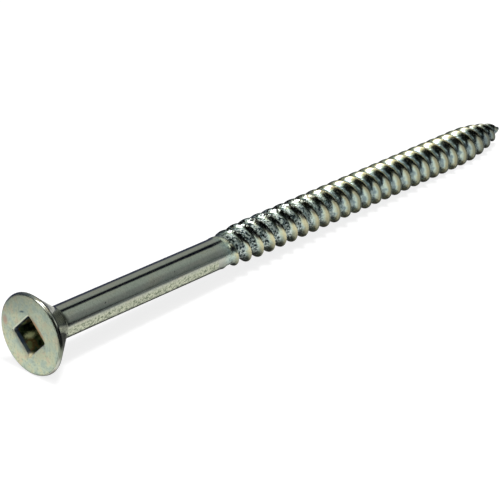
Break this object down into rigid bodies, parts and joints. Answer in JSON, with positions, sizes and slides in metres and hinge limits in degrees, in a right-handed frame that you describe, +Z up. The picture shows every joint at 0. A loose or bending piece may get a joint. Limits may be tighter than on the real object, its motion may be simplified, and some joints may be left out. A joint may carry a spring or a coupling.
{
  "type": "flat head wood screw",
  "caption": "Long flat head wood screw in bright zinc plate, with a square drive recess, a plain shank, a right-hand twin thread and a gimlet point, lying on its side.",
  "frame": {"origin": "Middle of the screw's footprint, on the level surface that it lies on.", "axes": "+X runs from the head to the point, +Z is up and +Y is across. The screw's own axis dips 1.7 degrees towards the point, because the head is wider than the thread."},
  "size_m": [0.0762, 0.0082, 0.0083],
  "materials": {
    "zinc_plated_steel": "bright zinc plate, satin and slightly mottled"
  },
  "bodies": {
    "root": {"wood_screw": "zinc_plated_steel"}
  },
  "joints": []
}
